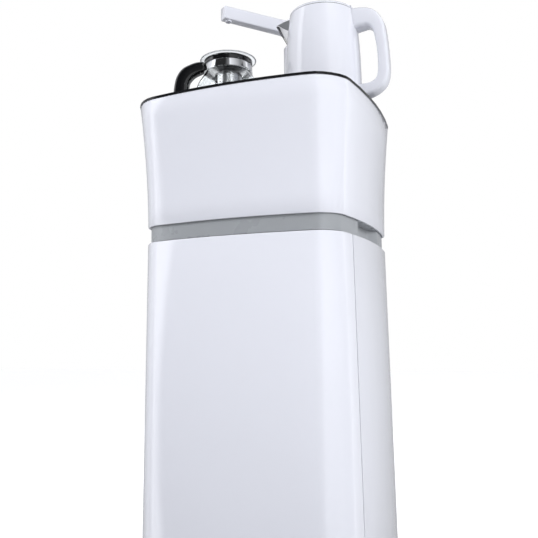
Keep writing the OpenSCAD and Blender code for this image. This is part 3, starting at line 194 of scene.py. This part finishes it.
def traced(points):
    """A line of edges through the points, open in edit mode and all selected."""
    bpy.ops.object.select_all(action="DESELECT")
    bpy.ops.mesh.primitive_plane_add(size=MM, location=[v * MM for v in points[0]])
    bpy.ops.object.transform_apply(location=True, rotation=True, scale=True)
    piece = bpy.context.object
    open_in_edit()
    bpy.ops.mesh.merge(type="CENTER")
    for a, b in zip(points, points[1:]):
        step = [(q - p) * MM for p, q in zip(a, b)]
        bpy.ops.mesh.extrude_region_move(TRANSFORM_OT_translate={"value": step})
    bpy.ops.mesh.select_all(action="SELECT")
    return piece


def lathe(name, body, slot, centre, outline, closed=True, steps=ROUND_STEPS, instead=(), base=WORKTOP):
    """Turns an outline of (radius, height) round an upright axis."""
    x, y = centre
    ends = outline + [outline[0]] if closed else outline
    piece = traced([(x + radius, y, base + height) for radius, height in ends])
    bpy.ops.mesh.remove_doubles(threshold=WELD_GAP)
    bpy.ops.mesh.spin(steps=steps, angle=math.tau, center=(x * MM, y * MM, 0), axis=(0, 0, 1))
    bpy.ops.object.mode_set(mode="OBJECT")
    return finished(piece, name, body, slot, instead)


def facet(name, body, slot, centre, points, thick):
    """A flat plate through the points, thickened along one direction."""
    x, y = centre
    piece = traced([(x + p[0], y + p[1], WORKTOP + p[2]) for p in points])
    bpy.ops.mesh.edge_face_add()
    bpy.ops.mesh.extrude_region_move(TRANSFORM_OT_translate={"value": [v * MM for v in thick]})
    bpy.ops.object.mode_set(mode="OBJECT")
    return finished(piece, name, body, slot)


def cut(x, y, away):
    """Cuts the active piece by an upright plane and keeps the side that it faces."""
    open_in_edit()
    bpy.ops.mesh.bisect(plane_co=(x * MM, y * MM, 0), plane_no=away, use_fill=True, clear_inner=True)
    bpy.ops.object.mode_set(mode="OBJECT")


def smooth_path(stations, parts):
    """Catmull-Rom curve through the stations, sizes with it."""
    path = []
    last = len(stations) - 1
    for i in range(last):
        near = [stations[k] for k in (max(i - 1, 0), i, i + 1, min(i + 2, last))]
        for j in range(parts):
            t = j / parts
            path.append([
                0.5 * (2 * b + (c - a) * t + (2 * a - 5 * b + 4 * c - d) * t * t
                    + (3 * b - a - 3 * c + d) * t ** 3)
                for a, b, c, d in zip(*near)])
    return path + [list(stations[-1])]


def sweep(name, body, slot, centre, bearing, stations, corner, parts=4, instead=()):
    """Rounded bar along (distance out, height, depth, width) stations at one bearing."""
    path = smooth_path(stations, parts)
    bpy.ops.object.select_all(action="DESELECT")
    bpy.ops.mesh.primitive_plane_add(size=1, location=(0, 0, 0))
    piece = bpy.context.object
    open_in_edit()
    bpy.ops.mesh.bevel(offset=corner, segments=4, affect="VERTICES", profile=0.5)
    bpy.ops.mesh.select_all(action="SELECT")
    # the section lies flat: its X is the depth and its Y the width
    turned = 0.0
    for i, (out, up, depth, width) in enumerate(path):
        ahead, behind = path[min(i + 1, len(path) - 1)], path[max(i - 1, 0)]
        heading = math.atan2(ahead[1] - behind[1], ahead[0] - behind[0])
        place = (out * MM, 0, up * MM)
        if i == 0:
            bpy.ops.transform.resize(value=(depth * MM, width * MM, 1), center_override=(0, 0, 0))
            bpy.ops.transform.translate(value=place)
        else:
            was_out, was_up, was_deep, was_wide = path[i - 1]
            step = ((out - was_out) * MM, 0, (up - was_up) * MM)
            bpy.ops.mesh.extrude_region_move(TRANSFORM_OT_translate={"value": step})
            grow = depth / was_deep
            bpy.ops.transform.resize(value=(grow, width / was_wide, grow), center_override=place)
        # leaning a flat section by this much sets it across the path
        lean = heading - math.pi / 2
        bpy.ops.transform.rotate(value=lean - turned, orient_axis="Y", center_override=place)
        turned = lean
    bpy.ops.object.mode_set(mode="OBJECT")
    pick(piece)
    piece.rotation_euler = (0, 0, bearing)
    piece.location = (centre[0] * MM, centre[1] * MM, WORKTOP * MM)
    bpy.ops.object.transform_apply(location=True, rotation=True, scale=True)
    return finished(piece, name, body, slot, instead, angle=SWEPT_EDGE)


# ---- Teapot: glass, collar, clamp band, grip, infuser and cover ---------------------------

TEAPOT = (-89.5, 24)
GRIP_BEARING = math.radians(200)
NECK = 40.6             # outer radius of the glass neck
GLASS_WALL = 2.2
GLASS_UNDER = 6         # underside of the glass floor
GLASS_FLOOR = 9
COLLAR_LOW = 99.9
COLLAR_TOP = 113
BAND_LOW = 113.2
NECK_TOP = 120.5
LIP = 122.9             # mid height of the turned-out lip
SEAT = LIP - 0.9        # where the infuser's flange rests
FLANGE = 0.8

belly = smooth_path([
    (48.5, GLASS_UNDER), (53.5, 9.3), (59, 19), (61.5, 38), (59.5, 58), (54, 77), (45, 91.5), (NECK, 99.5)],
    parts=3)
outside = belly + [(NECK, NECK_TOP)]
lip = [
    (NECK + 1.6, LIP - 1.1), (NECK + 7.4, LIP - 0.8), (NECK + 8.2, LIP), (NECK + 7.4, LIP + 0.8),
    (NECK + 1, LIP + 0.5), (NECK - 0.9, LIP - 1)]
inside = [(r - GLASS_WALL, h) for r, h in reversed(outside) if h > GLASS_FLOOR]
lathe(
    "glass_body", "teapot", "clear_glass", TEAPOT,
    [(0, GLASS_UNDER)] + [tuple(p) for p in outside] + lip + inside + [(45, GLASS_FLOOR), (0, GLASS_FLOOR)],
    closed=False, instead=("teapot_glass",))

BEAD = 1.05
BEAD_STEPS = 10
turns = [math.tau * k / BEAD_STEPS for k in range(BEAD_STEPS)]
lathe(
    "glass_rim", "teapot", "clear_glass", TEAPOT,
    [(NECK + 7.5 + BEAD * math.cos(t), LIP + BEAD * math.sin(t)) for t in turns])
bpy.context.object.data.materials[0] = ground_rim

BORE = NECK + 0.05      # the collar and the band slip over the neck
lathe(
    "neck_collar", "teapot", "polished", TEAPOT,
    [(BORE, COLLAR_LOW), (NECK + 1.2, COLLAR_LOW), (NECK + 1.8, COLLAR_LOW + 0.6),
        (NECK + 1.8, COLLAR_LOW + 1.5), (NECK + 1.5, COLLAR_LOW + 2.1), (NECK + 1.5, COLLAR_TOP - 0.6),
        (NECK + 1.1, COLLAR_TOP), (BORE, COLLAR_TOP)],
    instead=("teapot_collar",))
lathe(
    "clamp_band", "teapot", "black_gloss", TEAPOT,
    [(BORE, BAND_LOW), (NECK + 1.4, BAND_LOW), (NECK + 1.7, BAND_LOW + 0.3), (NECK + 1.7, LIP - 1.5),
        (BORE, LIP - 2.6)])
sweep(
    "pot_grip", "teapot", "black_gloss", TEAPOT, GRIP_BEARING,
    [(NECK + 0.9, 112.4, 17.6, 18), (NECK + 4, 111.9, 19, 19), (NECK + 12, 110.2, 21.4, 20),
        (NECK + 21.4, 106.5, 22.5, 21), (NECK + 31.4, 100, 25, 22), (NECK + 38.4, 90, 25, 22),
        (NECK + 41.4, 77, 25.5, 22), (NECK + 42.3, 63, 26, 22), (NECK + 42.2, 48, 23, 21),
        (NECK + 39.9, 35, 18, 20), (NECK + 34.4, 26, 13, 17)],
    corner=0.3, instead=("teapot_handle",))

CUP = 24                # outer radius of the infuser's cup
CUP_WALL = 0.8
THROAT = NECK - 3.2
lathe(
    "infuser", "strainer", "steel", TEAPOT,
    [(0, 20), (CUP - 2, 20), (CUP, 22), (CUP, 95.5), (THROAT, 105.5), (THROAT, SEAT), (NECK - 1, SEAT),
        (NECK - 1, SEAT + FLANGE), (THROAT - CUP_WALL, SEAT + FLANGE), (THROAT - CUP_WALL, 105.9),
        (CUP - CUP_WALL, 96.1), (CUP - CUP_WALL, 22.4), (CUP - 2.4, 20.8), (0, 20.8)],
    closed=False, instead=("tea_strainer",))
lathe(
    "pot_cover", "teapot_cover", "black_gloss", TEAPOT,
    [(0, -4), (14, -4), (14, -2.5), (NECK - 8, -2.5), (NECK - 8, -6), (NECK - 5, -6), (NECK - 4.4, -5),
        (NECK - 4.4, 0), (NECK - 1.5, 0), (NECK - 1.5, 0.9), (NECK - 2.2, 1.5), (NECK - 5, 2.1),
        (NECK - 10, 2.9), (NECK - 18, 4), (13, 4.4), (7, 4.5), (5.8, 4.7), (8.4, 5.4), (7.8, 6), (4, 6.2),
        (0, 6.3)],
    closed=False, instead=("teapot_lid",), base=WORKTOP + SEAT + FLANGE)

# ---- Filler arm: a slim bar that swells round its column, its neck and its outlet ---------

COLUMN = (-2, 134)
ARM_BEARING = math.atan2(TEAPOT[1] - COLUMN[1], TEAPOT[0] - COLUMN[0])
ARM_TOP = 220.4
ARM_LOW = 195
ARM_TIP_LOW = 197.5
ARM_END = 150.5
ARM_REACH = 139.5       # from the column to the outlet
ARM_HALF = 8.5
ROOT_RADIUS = 19.5
ROOT_BLEND = 34


def arm_station(out, half):
    low = ARM_LOW + (ARM_TIP_LOW - ARM_LOW) * max(0, out) / ARM_END
    return (out, (ARM_TOP + low) / 2, ARM_TOP - low, 2 * half)


def arm_flare(out):
    return ARM_HALF + (ROOT_RADIUS - ARM_HALF) * (0.5 + 0.5 * math.cos(math.pi * out / ROOT_BLEND))


arm = []
for turn in (4, 20, 40, 60, 80):
    half = max(2.5, ROOT_RADIUS * math.sin(math.radians(turn)))
    arm.append(arm_station(-ROOT_RADIUS * math.cos(math.radians(turn)), half))
arm += [arm_station(out, arm_flare(out)) for out in (6, 12, 18, 24, 30)]
arm += [arm_station(out, ARM_HALF) for out in (36, 60, 100, 144, 149.2)]
out, up, depth, width = arm_station(ARM_END, 7.6)
arm.append((out, up, depth - 1.8, width))
sweep(
    "arm_bar", "filler_arm", "gloss_white", COLUMN, ARM_BEARING, arm,
    corner=0.1, parts=2, instead=("arm_shell", "arm_cover"))
lathe(
    "arm_neck", "filler_arm", "inner_plastic", COLUMN,
    [(12, 178.2), (15.8, 178.2), (16.2, 178.8), (16.2, 196), (12, 196)])
outlet_place = (COLUMN[0] + ARM_REACH * math.cos(ARM_BEARING), COLUMN[1] + ARM_REACH * math.sin(ARM_BEARING))
lathe(
    "outlet", "filler_arm", "gloss_white", outlet_place,
    [(3.4, 196), (3.6, 194.6), (4.8, 194.2), (5.6, 194.8), (5.8, 195.6), (5.8, 200), (3.4, 200)],
    steps=ROUND_STEPS // 2, instead=("outlet_nozzle",))

# ---- Kettle: handle, lid corners beside the hinge, a dark ring painting the lid seam's shade, and dark plates and a bar painting the spout's reflection and edge line ---

KETTLE = (85, 24)
SEAM = 169              # top of the kettle's wall, where the lid closes
LID_RADIUS = 54.3
HINGE_LINE = 48.2       # where the lid's straight rear edge lies, from the kettle's axis
HINGE_HALF = 13         # half the width of the hinge
LID_LOW = SEAM + 0.9
LID_TOP = SEAM + 4.8
SPOUT_LINE = 46         # the dark seam ring ends this far from the axis, beside the spout

sweep(
    "kettle_grip", "kettle", "gloss_white", KETTLE, 0,
    [(50.6, 152.8, 36, 34), (57.6, 153.3, 35, 31), (67.6, 153.4, 33, 29), (78, 152, 30, 28),
        (87.5, 146, 25, 27), (94, 136.5, 21, 27), (97.4, 124, 18.6, 27), (100.7, 98.8, 16.8, 27),
        (102, 72.8, 17, 27), (101.4, 57, 17.2, 27), (97.2, 44, 17.8, 27), (87.5, 36, 18.5, 27),
        (75, 32.2, 20.5, 28), (61.8, 30.5, 25, 30), (54.8, 30, 27, 32)],
    corner=0.22, parts=3, instead=("kettle_handle",))

SIDES = (("front", -1), ("rear", 1))
for end, side in SIDES:
    lathe(
        "lid_corner_" + end, "kettle", "gloss_white", KETTLE,
        [(0, LID_LOW), (LID_RADIUS, LID_LOW), (LID_RADIUS, LID_TOP - 1.6), (LID_RADIUS - 0.5, LID_TOP - 0.5),
            (LID_RADIUS - 1.6, LID_TOP), (0, LID_TOP)],
        closed=False)
    cut(KETTLE[0] + HINGE_LINE, KETTLE[1], (1, 0, 0))
    cut(KETTLE[0], KETTLE[1] + side * HINGE_HALF, (0, side, 0))

# A dark ring in the rubber finish sits in the lid seam: painted shade of the gap under the lid's edge
SEAM_SHADE_IN = 52.6
SEAM_SHADE_OUT = 54.25
SEAM_SHADE_LOW = SEAM + 0.05
SEAM_SHADE_TOP = SEAM + 0.85
lathe(
    "lid_seam_shade_ring", "kettle", "rubber", KETTLE,
    [(SEAM_SHADE_IN, SEAM_SHADE_LOW), (SEAM_SHADE_OUT, SEAM_SHADE_LOW), (SEAM_SHADE_OUT, SEAM_SHADE_TOP), (SEAM_SHADE_IN, SEAM_SHADE_TOP)])
cut(KETTLE[0] - SPOUT_LINE, 0, (1, 0, 0))

# Dark plates on both sides of the spout, in the dark_steel finish: painted dark reflection of its polished
# steel
SPOUT_REFLECTION_PLATE = (
    (-79, 2.4, 169.4), (-62.3, 12.35, 168.8), (-46, 20.2, 167.6), (-49.4, 13.6, 147.5), (-65.6, 7.7, 158.6))
for end, side in SIDES:
    facet(
        "beak_painted_reflection_" + end, "kettle", "dark_steel", KETTLE, [(x, y * side, z) for x, y, z in SPOUT_REFLECTION_PLATE],
        (-0.3, 0.6 * side, -0.13))
# A thin dark bar along the spout's keel: a painted dark edge line
sweep(
    "beak_painted_edge_line", "kettle", "dark_steel", KETTLE, 0,
    [(-82.2, 168.4, 1.3, 1.6), (-70, 146, 1.3, 1.6), (-58.2, 124.6, 1.3, 1.6)], corner=0.3, parts=2)

# ---- Stage ------------------------------------------------------------------------------

# Brightness of the studio walls by bearing, in degrees from the front towards the right:
# a dark camera side, a tall lamp on the left, a bright screen on the right, a pale backdrop
STUDIO = [
    (-180, 0.5), (-160, 0.55), (-140, 0.45), (-116, 0.6), (-94, 1.0), (-72, 1.2), (-69, 2.2), (-55, 2.2),
    (-51, 0.03), (8, 0.03), (31, 0.3), (34, 1.25), (44, 1.0), (60, 0.8), (84, 0.5), (97, 0.3), (112, 0.35),
    (130, 0.7), (135, 1.2), (141, 1.2), (143, 0.8), (156, 0.65), (168, 0.55), (180, 0.5)]
STUDIO_PEAK = 4.0
# What bent rays see: the backdrop is white, the rest of the room is dim
BACKDROP = [(-180, 1.0), (-138, 1.0), (-120, 0.12), (125, 0.12), (150, 1.0), (180, 1.0)]
ROOM_LIGHT = (0.95, 0.96, 1.0, 1)
ROOM_STRENGTH = 0.31
LAMP_TINT = (0.965, 0.975, 1.0)
LAMP_WIDTH = 1.0
LAMP_AIM = (0, 0, 0.8)
# Soft lamps around the unit, by place and power
LAMPS = {
    "left": ((-2.2, -1.2, 1.3), 16),
    "left_high": ((-1.4, -1.8, 2.4), 24),
    "front_high": ((0.9, -2.2, 2.6), 16),
    "right": ((2.0, -1.6, 1.3), 18),
    "right_side": ((2.5, -0.6, 1.3), 10),
    "right_back": ((2.6, 0.3, 1.3), 13),
    "right_low": ((2.1, -1.2, 0.5), 5),
    "back_left": ((-1.0, 2.6, 1.4), 16),
}
FLOOR_WIDTH = 16
FLOOR_COLOUR = (0.62, 0.62, 0.62)
FLOOR_GLOW = 0.75


def calculate(tree, operation, first, second):
    """A Math node; either of its inputs is a socket or a number."""
    node = tree.nodes.new("ShaderNodeMath")
    node.operation = operation
    for value, socket in ((first, node.inputs[0]), (second, node.inputs[1])):
        if isinstance(value, (int, float)):
            socket.default_value = value
        else:
            tree.links.new(value, socket)
    return node.outputs[0]


def choose(tree, switch, off, on):
    """Passes one of two numbers on, by a ray switch."""
    mix = tree.nodes.new("ShaderNodeMix")
    tree.links.new(switch, mix.inputs[0])
    for value, socket in ((off, mix.inputs[2]), (on, mix.inputs[3])):
        if isinstance(value, float):
            socket.default_value = value
        else:
            tree.links.new(value, socket)
    return mix.outputs[0]


def walls(tree, bearing, stops):
    """Brightness of the walls as a ramp over the bearing."""
    ramp = tree.nodes.new("ShaderNodeValToRGB")
    points = ramp.color_ramp.elements
    points[0].position, points[1].position = 0, 1
    # each point gets its colour before the next is added, because adding one moves the others
    for point, (at, level) in ((points[0], stops[0]), (points[1], stops[-1])):
        point.color = (level / STUDIO_PEAK,) * 3 + (1,)
    for at, level in stops[1:-1]:
        point = points.new((at + 180) / 360)
        point.color = (level / STUDIO_PEAK,) * 3 + (1,)
    tree.links.new(bearing, ramp.inputs["Fac"])
    return calculate(tree, "MULTIPLY", ramp.outputs["Color"], STUDIO_PEAK)


world = bpy.data.worlds.new("studio")
scene.world = world
world.use_nodes = True
sky = world.node_tree
backdrop = sky.nodes["Background"]
place = sky.nodes.new("ShaderNodeTexCoord")
axes = sky.nodes.new("ShaderNodeSeparateXYZ")
sky.links.new(place.outputs["Generated"], axes.inputs[0])
to_front = calculate(sky, "MULTIPLY", axes.outputs["Y"], -1)
turn = calculate(sky, "ARCTAN2", axes.outputs["X"], to_front)
bearing = sky.nodes.new("ShaderNodeMapRange")
bearing.inputs["From Min"].default_value = -math.pi
bearing.inputs["From Max"].default_value = math.pi
sky.links.new(turn, bearing.inputs["Value"])
rays = sky.nodes.new("ShaderNodeLightPath")
level = choose(sky, rays.outputs["Is Glossy Ray"], ROOM_STRENGTH, walls(sky, bearing.outputs[0], STUDIO))
level = choose(sky, rays.outputs["Is Transmission Ray"], level, walls(sky, bearing.outputs[0], BACKDROP))
level = choose(sky, rays.outputs["Is Camera Ray"], level, 1.0)
sky.links.new(level, backdrop.inputs["Strength"])
tone = sky.nodes.new("ShaderNodeMix")
tone.data_type = "RGBA"
sky.links.new(rays.outputs["Is Camera Ray"], tone.inputs[0])
tone.inputs[6].default_value = ROOM_LIGHT
tone.inputs[7].default_value = (1, 1, 1, 1)
sky.links.new(tone.outputs[2], backdrop.inputs["Color"])


def lift_to_white(m, share):
    """Adds plain light to what the camera sees of the floor; its shadows stay."""
    tree = m.node_tree
    path = tree.nodes.new("ShaderNodeLightPath")
    seen = calculate(tree, "MAXIMUM", path.outputs["Is Camera Ray"], path.outputs["Is Transmission Ray"])
    glow = tree.nodes.new("ShaderNodeEmission")
    tree.links.new(calculate(tree, "MULTIPLY", seen, share), glow.inputs["Strength"])
    both = tree.nodes.new("ShaderNodeAddShader")
    out = next(n for n in tree.nodes if n.type.startswith("OUTPUT"))
    tree.links.new(out.inputs["Surface"].links[0].from_socket, both.inputs[0])
    tree.links.new(glow.outputs[0], both.inputs[1])
    tree.links.new(both.outputs[0], out.inputs["Surface"])


def softbox(name, place, power):
    """A square lamp turned to the unit, unseen in gloss, where the studio walls show."""
    bpy.ops.object.light_add(type="AREA", location=place)
    lamp = bpy.context.object
    lamp.name = name
    lamp.data.shape = "RECTANGLE"
    lamp.data.size = LAMP_WIDTH
    lamp.data.size_y = LAMP_WIDTH
    lamp.data.energy = power
    lamp.data.color = LAMP_TINT
    lamp.visible_glossy = False
    lamp.rotation_euler = (Vector(LAMP_AIM) - Vector(place)).to_track_quat("-Z", "Y").to_euler()


bpy.ops.mesh.primitive_plane_add(size=FLOOR_WIDTH, location=(0, 0, 0))
floor = bpy.context.object
floor.name = "floor"
floor.data.materials.append(material("floor", FLOOR_COLOUR, 0.6, grain=0.0))
lift_to_white(floor.data.materials[0], FLOOR_GLOW)
floor.visible_glossy = False

for name, (place, power) in LAMPS.items():
    softbox(name, place, power)
